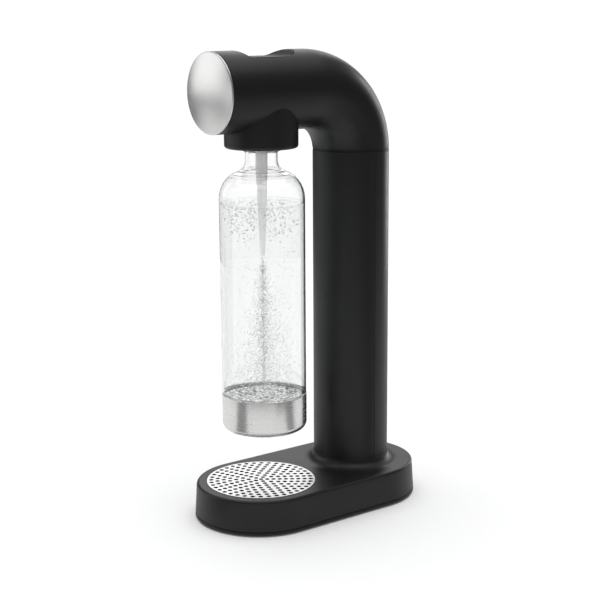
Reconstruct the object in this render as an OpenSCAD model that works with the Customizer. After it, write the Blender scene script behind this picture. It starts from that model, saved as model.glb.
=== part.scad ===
// Soda carbonator: a slim tubular machine that pushes carbon dioxide from an
// exchangeable cylinder in its column into a screwed-in bottle under its arm.
// Millimetres, +Z up, the front faces -Y. The origin is the centre of the base
// on the surface that the machine stands on.

/* [Base] */
// Height of the base's top face above the table
base_h = 32.8; // [30:0.2:36]
// Radius of the base's two round ends at the top face
base_r = 59.7; // [58:0.1:64]
// Half the distance between the centres of the two round ends
base_axis_y = 53.5; // [52:0.5:56]
// Side draft of the base, as run over rise
base_draft = 0.054; // [0:0.002:0.08]
// Radius of the drip grille
grille_r = 50.2; // [46:0.1:51]
// Rings of holes in the drip grille around its middle hole
grille_rings = 8; // [5:1:8]

/* [Column and arm] */
// Radius of the column and of the arm
tube_r = 35.5; // [35:0.1:37]
// Height of the arm's axis
arm_z = 389.5; // [385:0.5:395]
// Centre-line radius of the elbow
bend_r = 57.8; // [55:0.1:60]
// Front end of the arm's casing, measured along Y
arm_front_y = -100.4; // [-104:0.1:-98]
// Height of the steel front disc's dome
cap_dome = 5; // [2:0.5:8]
// Depth of the finger scoop below the arm's top line
scoop_depth = 5.7; // [4:0.1:6]

/* [Bottle] */
// Axis of the bottle, measured along Y
bottle_y = -48.5; // [-52:0.5:-46]
// Radius of the bottle's body
bottle_r = 38.4; // [36:0.1:39]
// Height of the bottle's underside above the table
bottle_z = 83; // [80:0.5:90]
// Radius of the collar that hides the bottle's mouth
collar_r = 32.9; // [32:0.1:34]
// Height of the collar's lower edge
collar_z = 339.8; // [338:0.1:341]

/* [Gas cylinder] */
// Radius of the exchangeable gas cylinder
gas_r = 30; // [29:0.1:30.2]
// Height of the gas cylinder's foot
gas_z = 29; // [26:0.5:32]

/* [Hidden] */
$fn = 96;

col_y = base_axis_y;             // axis of the column
elbow_y = col_y - bend_r;        // centre of the elbow's bend
elbow_z = arm_z - bend_r;
wall = 2.5;                      // casing wall
bore_r = tube_r - wall;          // inside of the arm and the elbow
plate_z = 1.2;                   // underside of the bottom plate
seam_z = 5;                      // joint between bottom plate and housing
top_wall = 2.6;                  // top wall of the base
cove_r = 47;                     // outer edge of the cove at the column's foot
cove_z = 41.3;                   // top of the cove
well_r = grille_r + 0.7;         // well that the drip tray stands in
well_z = 10;                     // floor of that well
front_half_angle = 90.5;         // the front shell's half angle about the column
rear_half_angle = 88.8;          // the rear cover's half angle
ring_h = 2.8;                    // height of the ring between column and elbow
shelf_z = 345;                   // shelf at the top of the column's frame
shelf_t = 3;
block_top = 369;                 // top of the valve block
frame_t = 3;                     // thickness of the frame plate in the arm
lever_y = 75;                    // lever's pivot, behind the gas valve
lever_z = 360;
button_y = -22;                  // button's pivot
button_z = 415.5;
button_half_w = 19.3;
button_end_y = -36.2;            // centre of the button's round rear end
button_front_y = -71.6;
button_under_z = 416.2;
scoop_z = arm_z + tube_r - scoop_depth;
socket_z = 342.6;
seal_z = 356;                    // underside of the bottle's seal
nozzle_tip_z = 243.5;
mouth_z = 355.6;                 // top of the bottle's mouth
rim_z = 116.5;                   // upper edge of the bottle's steel cup
base_screw_xy = [[28, -78], [50, 2], [34, 88]];
foot_xy = [[42, -74], [42, 75]];
frame_screw_angles = [-66, -22, 22, 66];

black = [0.12, 0.12, 0.125];
dark = [0.25, 0.25, 0.26];
steel = [0.82, 0.82, 0.81];
brass = [0.8, 0.66, 0.36];
rubber = [0.07, 0.07, 0.07];
clear = [0.85, 0.9, 0.92, 0.5];

// ---------- shared shapes ----------

// Radius of the base's round ends at height z
function base_r_at(z) = base_r + (base_h - z) * base_draft;

// Points of an arc about c with radius r from angle a0 to a1 in n steps
function arc(c, r, a0, a1, n) =
    [for (i = [0:n]) let (a = a0 + (a1 - a0) * i / n) [c[0] + r * cos(a), c[1] + r * sin(a)]];

// A ring or disc about the Z axis from z0 to z1
module ring(r_out, r_in, z0, z1) {
    translate([0, 0, z0]) difference() {
        cylinder(r = r_out, h = z1 - z0);
        if (r_in > 0) translate([0, 0, -1]) cylinder(r = r_in, h = z1 - z0 + 2);
    }
}

// A pin along X from -half to half
module cross_pin(y, z, r, half) {
    translate([-half, y, z]) rotate([0, 90, 0]) cylinder(r = r, h = 2 * half, $fn = 48);
}

// A side view, drawn in Y and Z, made half_w thick to each side of the mid-plane
module side_view(points, half_w) {
    translate([-half_w, 0, 0]) rotate([90, 0, 90]) linear_extrude(2 * half_w) polygon(points);
}

// The base's outline, round at both ends, with the half section given
module stadium(section) {
    for (side = [-1, 1]) translate([0, side * base_axis_y, 0]) rotate([0, 0, side > 0 ? 0 : 180])
        rotate_extrude(angle = 180) polygon(section);
    rotate([90, 0, 0]) translate([0, 0, -base_axis_y]) linear_extrude(2 * base_axis_y)
        polygon(concat(section, [for (i = [len(section) - 1:-1:0]) [-section[i][0], section[i][1]]]));
}

// A wall about the column's axis, centred on the angle a, from z0 to z1
module column_wall(r_in, r_out, z0, z1, a, half_a) {
    translate([0, col_y, 0]) rotate([0, 0, a - half_a]) rotate_extrude(angle = 2 * half_a)
        translate([r_in, z0]) square([r_out - r_in, z1 - z0]);
}

// The bent tube of arm and elbow, from the column ring to the arm's front
module bent_tube(r) {
    translate([0, elbow_y, arm_z]) rotate([90, 0, 0]) cylinder(r = r, h = elbow_y - arm_front_y);
    translate([0, elbow_y, elbow_z]) rotate([90, 0, 90])
        rotate_extrude(angle = 90) translate([bend_r, 0]) circle(r = r);
}

// Side view of the finger scoop: an S-shaped ramp down, a flat floor and a ramp up
function ramp(y0, y1, z0, z1, n) =
    [for (i = [0:n]) let (t = i / n) [y0 + (y1 - y0) * t, z0 + (z1 - z0) * (1 - cos(180 * t)) / 2]];
scoop_top = arm_z + tube_r + 0.3;
scoop_side = concat(ramp(-78.5, -70, scoop_top, scoop_z, 8), ramp(-31, -16.4, scoop_z, scoop_top, 8),
                    [[-16.4, scoop_top + 8], [-78.5, scoop_top + 8]]);

// Plan of the button, grown by gap, from z0 to z1
module button_plan(gap, z0, z1) {
    w = button_half_w + gap;
    translate([0, button_end_y, z0]) cylinder(r = w, h = z1 - z0);
    translate([-w, button_front_y - gap, z0])
        cube([2 * w, button_end_y - button_front_y + gap, z1 - z0]);
}

// A coil spring standing on z0, of mean radius r, made of round wire
module coil(r, wire, z0, h, turns) {
    steps = 12;
    sides = 6;
    n = turns * steps;
    rise = h - 2 * wire;
    function at(i, j) = let (a = 360 * i / steps, b = 360 * j / sides)
        [(r + wire * cos(b)) * cos(a), (r + wire * cos(b)) * sin(a),
         z0 + wire + rise * i / n + wire * sin(b)];
    points = [for (i = [0:n]) for (j = [0:sides - 1]) at(i, j)];
    ends = [[for (j = [0:sides - 1]) j], [for (j = [sides - 1:-1:0]) n * sides + j]];
    skin = [for (i = [0:n - 1]) for (j = [0:sides - 1]) let (k = (j + 1) % sides)
        [i * sides + j, (i + 1) * sides + j, (i + 1) * sides + k, i * sides + k]];
    polyhedron(points, concat(ends, skin), convexity = 6);
}

// A screw with its head's top at z, pointing down when dir is -1 and up when dir is 1
module screw(r, length, head_r, head_h, dir) {
    rotate([dir > 0 ? 0 : 180, 0, 0]) difference() {
        union() {
            cylinder(r = head_r, h = head_h, $fn = 32);
            cylinder(r = r, h = length, $fn = 32);
        }
        translate([0, 0, -0.1]) cylinder(r = head_r * 0.45, h = head_h * 0.6, $fn = 6);
    }
}

// Puts a copy at each place and at its mirror image across the mid-plane
module at_pairs(places) {
    for (p = places) for (side = [-1, 1]) translate([side * p[0], p[1], 0]) children();
}

// ---------- base ----------

module base_housing() {
    round_r = 2.6;
    top_r = base_r_at(base_h);
    skin = concat([[0, seam_z], [base_r_at(seam_z), seam_z]],
                  arc([top_r - round_r, base_h - round_r], round_r, 0, 90, 6), [[0, base_h]]);
    inside = [[0, seam_z - 1], [base_r_at(seam_z) - top_wall, seam_z - 1],
              [top_r - top_wall, base_h - top_wall], [0, base_h - top_wall]];
    cove = concat([[bore_r + 0.2, base_h - top_wall], [cove_r, base_h - top_wall]],
                  [for (a = [90:-7.5:0]) [cove_r - (cove_r - tube_r) * cos(a),
                                         cove_z - (cove_z - base_h) * sin(a)]],
                  [[bore_r + 0.2, cove_z]]);
    color(black) difference() {
        union() {
            difference() {
                stadium(skin);
                stadium(inside);
            }
            translate([0, -base_axis_y, 0]) ring(well_r + 2, 0, well_z - 2, base_h - 1);
            at_pairs(base_screw_xy) ring(3.6, 0, seam_z, well_z);
            at_pairs([base_screw_xy[1], base_screw_xy[2]]) ring(3.6, 0, seam_z, base_h - 1);
            translate([0, col_y, 0]) rotate_extrude() polygon(cove);
        }
        translate([0, -base_axis_y, 0]) ring(well_r, 0, well_z, base_h + 1);
        translate([0, col_y, 0]) ring(bore_r + 0.2, 0, well_z, cove_z + 1);
        at_pairs(base_screw_xy) ring(1.25, 0, seam_z - 1, well_z - 1.2);
        at_frame_screws() ring(1.25, 0, base_h - top_wall - 1, base_h + 0.8);
    }
}

module at_frame_screws() {
    for (a = frame_screw_angles) translate([0, col_y, 0]) rotate([0, 0, a - 90])
        translate([38.5, 0, 0]) children();
}

module bottom_plate() {
    edge = 1.2;
    low_r = base_r_at(plate_z);
    section = concat([[0, plate_z]], arc([low_r - edge, plate_z + edge], edge, -90, 0, 4),
                     [[base_r_at(seam_z) - 0.1, seam_z - 0.9], [base_r_at(seam_z) - 1.1, seam_z - 0.8],
                      [base_r_at(seam_z) - 1.1, seam_z], [0, seam_z]]);
    color(black) difference() {
        stadium(section);
        at_pairs(foot_xy) ring(8.1, 0, 0, plate_z + 1.4);
        at_pairs(base_screw_xy) {
            ring(1.7, 0, 0, seam_z + 1);
            ring(3.1, 0, 0, plate_z + 2);
        }
    }
}

module rubber_feet() {
    color(rubber) at_pairs(foot_xy) ring(8, 0, 0, plate_z + 1.4);
}

module base_screws() {
    color(steel) at_pairs(base_screw_xy) translate([0, 0, plate_z + 0.2]) screw(1.45, 7, 2.8, 1.8, 1);
}

module drip_tray() {
    wall_t = 1.6;
    floor_z = well_z + 0.4;
    color(dark) translate([0, -base_axis_y, 0]) difference() {
        ring(well_r - 0.4, 0, floor_z, base_h - 1.3);
        ring(well_r - 0.4 - wall_t, 0, floor_z + wall_t, base_h);
    }
}

module drip_grille() {
    plate_t = 1;
    pitch = grille_r * 0.115;
    hole_r = 2.1;
    skirt_r = well_r - 2.3;
    top_z = base_h + 0.3;
    color(steel) translate([0, -base_axis_y, 0]) difference() {
        union() {
            ring(grille_r, 0, top_z - plate_t, top_z);
            ring(skirt_r, skirt_r - 1, top_z - 5, top_z - plate_t / 2);
        }
        translate([0, 0, top_z - plate_t - 0.1]) {
            cylinder(r = hole_r, h = 2, $fn = 16);
            for (k = [1:grille_rings]) for (i = [0:5 * k - 1]) rotate([0, 0, -90 + 360 * i / (5 * k)])
                translate([k * pitch, 0, 0]) cylinder(r = hole_r, h = 2, $fn = 16);
        }
    }
}

// ---------- column ----------

module column_frame() {
    r_in = gas_r + 1;
    color(dark) difference() {
        union() {
            column_wall(r_in, bore_r - 0.4, 12, shelf_z + shelf_t, -90, 80);
            column_wall(r_in, 43.5, base_h - top_wall - 2.8, base_h - top_wall, -90, 80);
            translate([0, col_y, 0]) ring(r_in + 0.2, 0, shelf_z, shelf_z + shelf_t);
        }
        translate([0, col_y, 0]) ring(11.6, 0, shelf_z - 1, shelf_z + shelf_t + 1);
        at_frame_screws() ring(1.7, 0, 20, 40);
        at_valve_screws() ring(1.25, 0, shelf_z - 1, shelf_z + shelf_t + 1);
    }
}

module frame_screws() {
    flange_z = base_h - top_wall - 2.8;
    color(steel) at_frame_screws() translate([0, 0, flange_z - 2]) screw(1.45, 7.4, 2.8, 2, 1);
}

module column_front_shell() {
    color(black) column_wall(tube_r - 2.4, tube_r, cove_z, elbow_z, -90, front_half_angle);
}

module column_rear_cover() {
    color(black) {
        column_wall(tube_r - 2.4, tube_r, cove_z + 0.3, elbow_z - 0.3, 90, rear_half_angle);
        for (side = [-1, 1]) for (z = [60, 185, 300]) {
            column_wall(31.5, 32.8, z, z + 14, 90 + side * (rear_half_angle + 2), 8);
            column_wall(32.1, tube_r - 1.2, z + 1, z + 13, 90 + side * (rear_half_angle - 3.8), 2);
        }
    }
}

module column_ring() {
    color(black) translate([0, col_y, 0]) ring(tube_r - 0.25, bore_r, elbow_z, elbow_z + ring_h);
}

module cylinder_seat() {
    color(rubber) translate([0, col_y, 0]) {
        ring(26, 0, seam_z, seam_z + 5);
        ring(26, 20, seam_z + 4, seam_z + 8);
    }
}

// Outline of the gas cylinder, drawn inward by t
function gas_outline(t) = let (r = gas_r - t, foot = 5, shoulder_z = 303)
    concat([[0, gas_z + t]], arc([r - foot, gas_z + t + foot], foot, -90, 0, 5),
           [for (a = [0:15:75]) [r - 17 + 17 * cos(a), shoulder_z + (26 - t) * sin(a)]]);

module co2_cylinder() {
    color([0.78, 0.79, 0.8]) translate([0, col_y, 0]) rotate_extrude() difference() {
        polygon(concat(gas_outline(0), [[13, 329], [13, 333], [0, 333]]));
        polygon(concat(gas_outline(2), [[9, 327], [0, 327]]));
        translate([0, 320]) square([9, 20]);
    }
}

module co2_valve() {
    color(brass) translate([0, col_y, 0]) rotate_extrude() polygon([
        [1, 316], [9, 316], [9, 333], [13, 333], [13, 338.5], [10.5, 338.5], [10.5, 340],
        [9.6, 340.8], [9.6, 343.2], [10.5, 344], [10.5, 356.8], [9.3, 358],
        [1.6, 358], [1.6, 330], [4, 330], [4, 319], [1, 319]]);
}

module co2_valve_pin() {
    color(steel) translate([0, col_y, 0]) rotate_extrude() polygon([
        [0, 326.4], [3.3, 326.4], [3.3, 329.7], [1.54, 329.9], [1.54, 357], [0, 357]]);
}

module co2_valve_spring() {
    color(steel) translate([0, col_y, 0]) coil(2.9, 0.35, 319.1, 7.1, 5);
}

// ---------- gas valve and its linkage in the elbow ----------

module at_valve_screws() {
    for (side = [-1, 1]) translate([side * 20, col_y, 0]) children();
}

module valve_block() {
    port_z = 363.5;
    color(brass) difference() {
        union() {
            translate([0, col_y, 0]) ring(13, 0, shelf_z + shelf_t, block_top);
            translate([-25, col_y - 6, shelf_z + shelf_t]) cube([50, 12, 5]);
            translate([0, col_y - 11, port_z]) rotate([90, 0, 0]) cylinder(r = 4.6, h = 9);
        }
        translate([0, col_y, 0]) {
            ring(10.56, 0, shelf_z, 358.2);
            ring(7.6, 0, 350, 361);
            ring(3.4, 0, 350, 365.5);
            ring(2.05, 0, 350, 380);
            for (side = [-1, 1]) translate([side * 9.3, 0, 0]) ring(1.25, 0, block_top - 6, 380);
        }
        at_valve_screws() ring(1.7, 0, 340, 360);
        translate([0, col_y, port_z]) rotate([90, 0, 0]) cylinder(r = 1.2, h = 30, $fn = 32);
        translate([0, col_y - 15, port_z]) rotate([90, 0, 0]) cylinder(r = 2.6, h = 10, $fn = 48);
    }
}

module valve_screws() {
    color(steel) {
        at_valve_screws() translate([0, 0, shelf_z + shelf_t + 7]) screw(1.45, 11, 2.8, 2, -1);
        for (side = [-1, 1]) translate([side * 9.3, col_y, block_top + frame_t + 2])
            screw(1.45, 9, 2.8, 2, -1);
    }
}

module valve_plunger() {
    color(steel) translate([0, col_y, 0]) rotate_extrude() polygon([
        [0, 357.15], [1.1, 357.15], [1.1, 362], [1.98, 363], [1.98, 376.4],
        [3.2, 376.4], [3.2, 379.7], [0, 379.7]]);
}

module cylinder_seal() {
    color(rubber) translate([0, col_y, 0]) ring(7.5, 3, 358.3, 360.9);
}

// Side view of the lever, its pivot boss left out
lever_side = [[71, 359], [79, 361], [77.5, 368], [70, 380], [60, 386], [0, 401], [-58, 413.6],
              [-66, 414.6], [-66, 410.2], [0, 393], [46, 380], [60, 380], [65, 376.5]];

module lever() {
    color(dark) difference() {
        union() {
            side_view(lever_side, 4);
            cross_pin(lever_y, lever_z, 4.5, 4);
            cross_pin(-66, 412.9, 3, 4);
        }
        cross_pin(lever_y, lever_z, 2.05, 6);
    }
}

module lever_pin() {
    color(steel) cross_pin(lever_y, lever_z, 2, 8.4);
}

module lever_spring() {
    color(steel) translate([0, 20, 0]) coil(3.8, 0.5, block_top + frame_t, 13.6, 6);
}

// ---------- arm ----------

module head_frame() {
    plate_top = block_top + frame_t;
    ear = [[62, block_top], [62, plate_top], [71, plate_top], [79, 364], [79.5, 356.5],
           [71, 356.5], [68, 362], [67.4, block_top]];
    color(dark) difference() {
        union() {
            translate([-14, bottle_y + 15, block_top]) cube([28, 70 - bottle_y - 15, frame_t]);
            translate([0, bottle_y, 0]) ring(26.4, 0, block_top, plate_top);
            for (side = [-1, 1]) translate([side * 6.6, 0, 0]) side_view(ear, 1.6);
        }
        translate([0, bottle_y, 0]) ring(20.3, 0, 360, 380);
        translate([0, col_y, 0]) ring(3.6, 0, 360, 380);
        translate([-5, 64, 350]) cube([10, 20, 30]);
        translate([7.4, 3.4, 366]) cube([8, 12.4, 8]);     // notch for the gas hose
        for (side = [-1, 1]) translate([side * 9.3, col_y, 0]) ring(1.7, 0, 360, 380);
        at_nozzle_screws() ring(1.7, 0, 360, 380);
        cross_pin(lever_y, lever_z, 2, 12);
        for (side = [-1, 1]) translate([side * 11, -5, 0]) ring(1.25, 0, 360, 380);
    }
}

// One half of the arm's casing; side is -1 for the left half and 1 for the right
module head_shell(side) {
    far = 300;
    color(black) intersection() {
        translate([side > 0 ? 0 : -far, -far / 2, elbow_z + ring_h]) cube([far, far, far]);
        difference() {
            union() {
                difference() {
                    bent_tube(tube_r);
                    bent_bore();
                }
                intersection() {
                    translate([0, arm_front_y, arm_z]) rotate([-90, 0, 0])
                        cylinder(r = tube_r - 0.1, h = 30);
                    translate([-button_half_w, -80.5, 413]) cube([2 * button_half_w, 8.1, 30]);
                }
                translate([side * 11, -5, 0]) ring(3.4, 0, 356.5, block_top);
            }
            side_view(scoop_side, 40);
            button_plan(0.65, 405, 440);
            translate([0, bottle_y, 0]) ring(30.2, 0, 340, 380);
            cross_pin(button_y, button_z, 1.5, 22.5);
            translate([side * 11, -5, 0]) ring(1.25, 0, 358, 370);
        }
    }
}

// The hollow inside the arm and the elbow, open at both ends
module bent_bore() {
    translate([0, elbow_y, arm_z]) rotate([90, 0, 0]) cylinder(r = bore_r, h = 120);
    translate([0, elbow_y, elbow_z]) rotate([90, 0, 90])
        rotate_extrude(angle = 90) translate([bend_r, 0]) circle(r = bore_r);
}

module head_shell_left() {
    head_shell(-1);
}

module head_shell_right() {
    head_shell(1);
}

module head_screws() {
    color(steel) for (side = [-1, 1]) translate([side * 11, -5, block_top + frame_t + 2])
        screw(1.45, 12, 2.8, 2, -1);
}

module cap_carrier() {
    color(black) translate([0, arm_front_y, arm_z]) rotate([90, 0, 0]) difference() {
        union() {
            translate([0, 0, -8]) cylinder(r = bore_r - 0.1, h = 8.3);
            cylinder(r = tube_r - 0.8, h = 0.6);
        }
        translate([0, 0, -9]) cylinder(r = bore_r - 2.4, h = 7.4);
    }
}

module front_cap() {
    rim = 1.2;
    sphere_r = (tube_r * tube_r + cap_dome * cap_dome) / (2 * cap_dome);
    color(steel) translate([0, arm_front_y - 0.6, arm_z]) rotate([90, 0, 0]) difference() {
        intersection() {
            cylinder(r = tube_r, h = rim + cap_dome + 1);
            translate([0, 0, rim + cap_dome - sphere_r]) sphere(r = sphere_r, $fn = 200);
        }
        intersection() {
            translate([0, 0, -1]) cylinder(r = tube_r - 1.2, h = rim + cap_dome + 1);
            translate([0, 0, rim + cap_dome - sphere_r]) sphere(r = sphere_r - 1.2, $fn = 200);
        }
    }
}

module bottle_collar() {
    round_r = 3;
    outer = concat([[21, collar_z]], arc([collar_r - round_r, collar_z + round_r], round_r, -90, 0, 6),
                   [[collar_r, 380], [30.6, 380], [30.6, collar_z + 2.4], [29.8, collar_z + 2.4],
                    [29.8, collar_z + 2.5], [21, collar_z + 2.5]]);
    color(black) translate([0, bottle_y, 0]) {
        difference() {
            rotate_extrude() polygon(outer);
            translate([0, 60, arm_z]) rotate([90, 0, 0]) cylinder(r = tube_r, h = 120);
        }
        ring(29.8, 27.8, collar_z + 2.4, 366);
    }
}

module push_button() {
    under = [[-16, button_under_z - 4.4], [-28, button_under_z - 4.4], [-33, button_under_z],
             [-80, button_under_z], [-80, 440], [-16, 440]];
    color(black) difference() {
        intersection() {
            button_plan(0, 405, 440);
            side_view(under, 30);
            translate([0, 0, arm_z]) rotate([90, 0, 0]) cylinder(r = tube_r, h = 100);
        }
        side_view(scoop_side, 40);
        cross_pin(button_y, button_z, 1.56, 30);
    }
}

module button_pin() {
    color(steel) cross_pin(button_y, button_z, 1.5, 22.4);
}

// ---------- carbonating head ----------

module at_nozzle_screws() {
    for (a = [0, 90, 180, 270]) translate([0, bottle_y, 0]) rotate([0, 0, a + 45])
        translate([23.3, 0, 0]) children();
}

module nozzle_block() {
    color(dark) difference() {
        translate([0, bottle_y, 0]) union() {
            ring(20, 0, 358.4, 384);
            ring(26.4, 0, 364, block_top);
            translate([0, 0, 377.5]) rotate([-90, 0, 0]) cylinder(r = 4.6, h = 27);
        }
        at_nozzle_screws() ring(1.25, 0, 364.8, 380);
        translate([0, bottle_y, 0]) {
            ring(6.2, 0, 350, 374);
            ring(1.5, 0, 350, 379);
            translate([0, 0, 377.5]) rotate([-90, 0, 0]) cylinder(r = 1.2, h = 40, $fn = 32);
            translate([0, 22, 377.5]) rotate([-90, 0, 0]) cylinder(r = 2.6, h = 10, $fn = 48);
            translate([0, -12.5, 0]) {
                ring(5, 0, 376, 390);
                ring(1.5, 0, 350, 390);
            }
        }
    }
}

module nozzle_screws() {
    color(steel) at_nozzle_screws() translate([0, 0, block_top + frame_t + 2])
        screw(1.45, 9, 2.8, 2, -1);
}

module nozzle_tube() {
    color([0.7, 0.71, 0.72]) translate([0, bottle_y, 0]) rotate_extrude() polygon([
        [1.2, nozzle_tip_z], [1.7, nozzle_tip_z], [2, 247], [2.9, 263], [4, 289], [5.1, 316],
        [5.4, 317], [5.4, 362], [6.2, 362], [6.2, 374], [1.2, 374]]);
}

module bottle_socket() {
    thread = [for (k = [0:2]) for (p = [[15.3, 0], [14.9, 0.5], [14.9, 1.1], [15.3, 1.6]])
        [p[0], 345.4 + 3.6 * k + p[1]]];
    color([0.85, 0.85, 0.84]) translate([0, bottle_y, 0]) rotate_extrude()
        polygon(concat([[24, socket_z], [24, 358.4], [15.3, 358.4]],
                       [for (i = [len(thread) - 1:-1:0]) thread[i]],
                       [[15.3, 344], [16.6, socket_z]]));
}

module bottle_seal() {
    color(rubber) translate([0, bottle_y, 0]) ring(15.2, 6.4, seal_z, 358.4);
}

module safety_valve_body() {
    color(brass) translate([0, bottle_y - 12.5, 0]) rotate_extrude() polygon([
        [1.2, 376], [4.95, 376], [4.95, 384], [6.5, 384], [6.5, 388], [4.6, 388], [4.6, 395.5],
        [1.5, 395.5], [1.5, 394.2], [3.3, 394.2], [3.3, 380], [1.2, 380]]);
}

module safety_valve_poppet() {
    color(steel) translate([0, bottle_y - 12.5, 0]) rotate_extrude() polygon([
        [0, 379.4], [1.1, 379.4], [1.1, 380.1], [3, 380.1], [3, 383.2], [1.3, 383.2],
        [1.3, 396], [0, 396]]);
}

module safety_valve_spring() {
    color(steel) translate([0, bottle_y - 12.5, 0]) coil(2.3, 0.35, 383.3, 10.7, 6);
}

// The route of the gas hose, from the valve block to the carbonating head
hose_route = [[0, 26, 363.5], [3, 22, 363.5], [8, 16, 365], [12.5, 8, 372], [14, 0, 377.5],
              [12, -7, 379], [6, -13, 378.4], [0, -15, 377.5]];

module gas_hose() {
    color([0.9, 0.9, 0.88]) hose_run(2.4);
}

// A bent hose swept along a smooth curve through the route
module hose_run(r) {
    sides = 10;
    steps = 6;
    last = len(hose_route) - 1;
    function knot(i) = hose_route[max(0, min(last, i))];
    function spline(i, t) = let (a = knot(i - 1), b = knot(i), c = knot(i + 1), d = knot(i + 2))
        0.5 * (2 * b + (c - a) * t + (2 * a - 5 * b + 4 * c - d) * t * t
               + (3 * b - a - 3 * c + d) * t * t * t);
    line = concat([for (i = [0:last - 1]) for (k = [0:steps - 1]) spline(i, k / steps)], [knot(last)]);
    n = len(line) - 1;
    function unit(v) = v / norm(v);
    function heading(i) = unit(line[min(n, i + 1)] - line[max(0, i - 1)]);
    function around(i, j) = let (h = heading(i), u = unit(cross(h, [0.05, 0.1, 1])), w = cross(h, u),
                                 a = 360 * j / sides)
        line[i] + r * (cos(a) * u + sin(a) * w);
    points = [for (i = [0:n]) for (j = [0:sides - 1]) around(i, j)];
    ends = [[for (j = [0:sides - 1]) j], [for (j = [sides - 1:-1:0]) n * sides + j]];
    skin = [for (i = [0:n - 1]) for (j = [0:sides - 1]) let (k = (j + 1) % sides)
        [i * sides + j, (i + 1) * sides + j, (i + 1) * sides + k, i * sides + k]];
    polyhedron(points, concat(ends, skin), convexity = 6);
}

module hose_fittings() {
    color(brass) {
        translate([0, col_y - 15.2, 363.5]) rotate([90, 0, 0]) difference() {
            union() {
                cylinder(r = 2.6, h = 7, $fn = 48);
                translate([0, 0, 4.9]) cylinder(r = 3.6, h = 7.4, $fn = 48);
            }
            translate([0, 0, -1]) cylinder(r = 1, h = 20, $fn = 32);
        }
        translate([0, bottle_y + 22, 377.5]) rotate([-90, 0, 0]) difference() {
            union() {
                cylinder(r = 2.6, h = 7, $fn = 48);
                translate([0, 0, 5.1]) cylinder(r = 3.6, h = 6.4, $fn = 48);
            }
            translate([0, 0, -1]) cylinder(r = 1, h = 20, $fn = 32);
        }
    }
}

// ---------- bottle ----------

// Outline of the bottle from the middle of its foot to its mouth, drawn inward by t
function bottle_outline(t) = let (low_r = bottle_r - 0.7, foot = 6.5, flare = 9)
    concat([[0, bottle_z + 5 + t], [14, bottle_z + 3.4 + t]],
           arc([low_r - foot - 3, bottle_z + 1.2 + foot], foot - t, -90, -62, 2),
           arc([low_r - foot - 1, bottle_z + 2.2 + foot], foot - t, -45, 0, 4),
           [[low_r - t, rim_z + 0.2], [bottle_r - t, rim_z + 1.2]],
           [for (a = [0:11:77]) [17 + (21.4 - t) * cos(a), 294.4 + (25 - t) * sin(a)]],
           arc([14.65 + flare, 328.4], flare + t, 250, 180, 6));

module bottle() {
    neck_r = 14.65;
    t = 1.15;
    thread = [for (k = [0:2]) for (p = [[13.4, 0], [14.5, 0.5], [14.5, 1.1], [13.4, 1.6]])
        [p[0], 343.6 + 3.6 * k + p[1]]];
    outside = concat(bottle_outline(0),
                     [[neck_r, 337.2], [17, 337.5], [17, 339.1], [neck_r, 339.4], [13.4, 340.8]],
                     thread, [[13.4, mouth_z - 0.8], [12.8, mouth_z], [0, mouth_z]]);
    inside = concat(bottle_outline(t), [[neck_r - t, 336], [11.2, 340], [11.2, mouth_z + 1],
                                        [0, mouth_z + 1]]);
    color(clear) translate([0, bottle_y, 0]) rotate_extrude() difference() {
        polygon(outside);
        polygon(inside);
    }
}

module bottle_base_cup() {
    t = 0.9;
    round_r = 7;
    cup_r = bottle_r + 0.25;
    function cup(d) = concat([[0, bottle_z + d]],
        arc([cup_r - round_r, bottle_z + round_r], round_r - d, -90, 0, 7), [[cup_r - d, rim_z]]);
    outer = cup(0);
    inner = cup(t);
    color(steel) translate([0, bottle_y, 0]) rotate_extrude()
        polygon(concat(outer, [for (i = [len(inner) - 1:-1:0]) inner[i]]));
}

base_housing();
bottom_plate();
rubber_feet();
base_screws();
drip_tray();
drip_grille();
column_frame();
frame_screws();
column_front_shell();
column_rear_cover();
column_ring();
cylinder_seat();
co2_cylinder();
co2_valve();
co2_valve_pin();
co2_valve_spring();
valve_block();
valve_screws();
valve_plunger();
cylinder_seal();
head_frame();
head_shell_left();
head_shell_right();
head_screws();
cap_carrier();
front_cap();
bottle_collar();
push_button();
button_pin();
lever();
lever_pin();
lever_spring();
gas_hose();
hose_fittings();
nozzle_block();
nozzle_screws();
nozzle_tube();
bottle_socket();
bottle_seal();
safety_valve_body();
safety_valve_poppet();
safety_valve_spring();
bottle();
bottle_base_cup();
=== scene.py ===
import bpy
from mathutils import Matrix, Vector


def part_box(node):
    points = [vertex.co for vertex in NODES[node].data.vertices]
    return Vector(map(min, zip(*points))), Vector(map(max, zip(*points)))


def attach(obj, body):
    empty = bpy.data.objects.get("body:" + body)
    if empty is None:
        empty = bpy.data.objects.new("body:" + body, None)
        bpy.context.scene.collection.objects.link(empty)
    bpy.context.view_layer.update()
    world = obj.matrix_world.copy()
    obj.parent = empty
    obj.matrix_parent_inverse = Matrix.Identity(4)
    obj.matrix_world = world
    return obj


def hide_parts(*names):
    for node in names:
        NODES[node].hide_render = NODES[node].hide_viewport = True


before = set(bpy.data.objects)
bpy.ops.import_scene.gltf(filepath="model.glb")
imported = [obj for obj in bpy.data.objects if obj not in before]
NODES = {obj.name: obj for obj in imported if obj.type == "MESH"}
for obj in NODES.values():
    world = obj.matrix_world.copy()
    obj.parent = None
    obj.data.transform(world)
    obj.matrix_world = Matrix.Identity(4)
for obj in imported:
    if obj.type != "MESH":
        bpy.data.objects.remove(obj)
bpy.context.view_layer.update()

import bpy
import math
import random
from mathutils import Matrix, Vector


# ---- The room: a pale floor that runs out into white light, a soft overhead
# ---- light, and panels and dim cards that are there for their reflections in
# ---- the dark plastic and steel. The camera stands off the left front corner.
scene = bpy.context.scene
scene.view_settings.view_transform = "Standard"


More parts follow.
